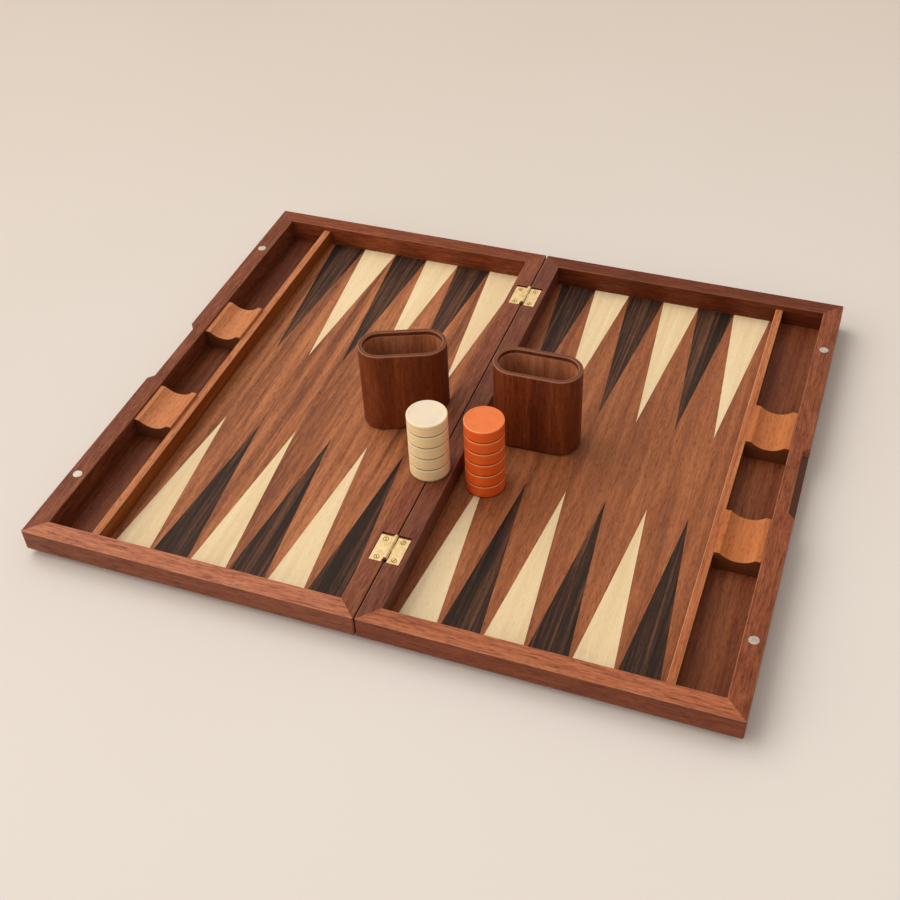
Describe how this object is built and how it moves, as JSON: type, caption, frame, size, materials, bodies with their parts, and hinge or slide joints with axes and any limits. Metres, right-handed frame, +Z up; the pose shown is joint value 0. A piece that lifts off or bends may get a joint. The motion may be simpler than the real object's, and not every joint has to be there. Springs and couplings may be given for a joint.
{
  "type": "folding backgammon set",
  "caption": "Folding wooden backgammon case with inlaid points, side trays, brass hinges, oval dice cups and stacked checkers.",
  "frame": {"origin": "under the middle of the seam, on the surface that the open case lies on", "axes": "+X from the left half to the right half, +Y to the back along the seam, +Z up"},
  "size_m": [0.564, 0.48, 0.085],
  "materials": {
    "rail_long": "oiled sapele, satin",
    "rail_short": "oiled sapele, dark, satin",
    "plywood": "birch plywood, bare",
    "under_veneer": "sapele veneer, satin",
    "field_veneer": "ribbon sapele veneer, satin",
    "light_points": "maple veneer, satin",
    "dark_points": "macassar ebony veneer, satin",
    "tray_veneer": "dark sapele veneer, satin",
    "divider": "sapele, satin",
    "cradle": "light mahogany, satin",
    "magnet": "nickel plated, bright",
    "hinge": "polished brass",
    "screws": "brass, slotted",
    "hinge_pin": "brass rod",
    "cup_shell": "walnut, satin",
    "cup_liner": "walnut, inside",
    "cup_pad": "felt",
    "cream_checker": "cast resin, satin",
    "orange_checker": "cast resin, satin"
  },
  "bodies": {
    "left_half": {"left_front_rail": "rail_long", "left_back_rail": "rail_long", "left_end_rail": "rail_short", "left_bar_rail": "rail_short", "left_corner_splines": "plywood", "left_panel_core": "plywood", "left_under_veneer": "under_veneer", "left_field_veneer": "field_veneer", "left_light_points": "light_points", "left_dark_points": "dark_points", "left_tray_veneer": "tray_veneer", "left_divider": "divider", "left_cradle_front": "cradle", "left_cradle_back": "cradle", "left_magnets": "magnet", "left_hinge_leaf_front": "hinge", "left_hinge_leaf_back": "hinge", "left_hinge_screws": "screws", "hinge_pin_front": "hinge_pin", "hinge_pin_back": "hinge_pin"},
    "right_half": {"right_front_rail": "rail_long", "right_back_rail": "rail_long", "right_end_rail": "rail_short", "right_bar_rail": "rail_short", "right_corner_splines": "plywood", "right_panel_core": "plywood", "right_under_veneer": "under_veneer", "right_field_veneer": "field_veneer", "right_light_points": "light_points", "right_dark_points": "dark_points", "right_tray_veneer": "tray_veneer", "right_divider": "divider", "right_cradle_front": "cradle", "right_cradle_back": "cradle", "right_magnets": "magnet", "right_hinge_leaf_front": "hinge", "right_hinge_leaf_back": "hinge", "right_hinge_screws": "screws"},
    "cup_left": {"cup_left_shell": "cup_shell", "cup_left_liner": "cup_liner", "cup_left_pad": "cup_pad"},
    "cup_right": {"cup_right_shell": "cup_shell", "cup_right_liner": "cup_liner", "cup_right_pad": "cup_pad"},
    "cream_checkers": {"cream_checker_1": "cream_checker", "cream_checker_2": "cream_checker", "cream_checker_3": "cream_checker", "cream_checker_4": "cream_checker", "cream_checker_5": "cream_checker"},
    "orange_checkers": {"orange_checker_1": "orange_checker", "orange_checker_2": "orange_checker", "orange_checker_3": "orange_checker", "orange_checker_4": "orange_checker", "orange_checker_5": "orange_checker", "orange_checker_6": "orange_checker"}
  },
  "joints": [
    {"name": "fold", "type": "hinge", "parent": "left_half", "child": "right_half", "pos_m": [0, 0, 0.0252], "axis": [0, -1, 0], "range_deg": [0, 180]},
    {"name": "cream_stow", "type": "hinge", "parent": "left_half", "child": "cream_checkers", "pos_m": [-0.118, -0.13399, 0.02336], "axis": [0.161, -0.6979, 0.6979], "range_deg": [0, 161.71]},
    {"name": "orange_stow", "type": "hinge", "parent": "right_half", "child": "orange_checkers", "pos_m": [0.11038, 0.06705, -0.02719], "axis": [-0.5145, 0.6063, 0.6063], "range_deg": [0, 125.56]},
    {"name": "cup_left_stow", "type": "hinge", "parent": "left_half", "child": "cup_left", "pos_m": [-0.05953, 0.01642, 0.0055], "axis": [-0.9285, -0.3714, 0], "range_deg": [0, 90.01]},
    {"name": "cup_right_stow", "type": "hinge", "parent": "right_half", "child": "cup_right", "pos_m": [0.06279, -0.01325, 0.0055], "axis": [0.9998, 0.0209, 0], "range_deg": [0, 90.01]}
  ],
  "couplings": [
    {"joint": "cream_stow", "follows": "fold", "ratio": 0.89835},
    {"joint": "orange_stow", "follows": "fold", "ratio": 0.6975},
    {"joint": "cup_left_stow", "follows": "fold", "ratio": 0.5},
    {"joint": "cup_right_stow", "follows": "fold", "ratio": 0.5}
  ]
}
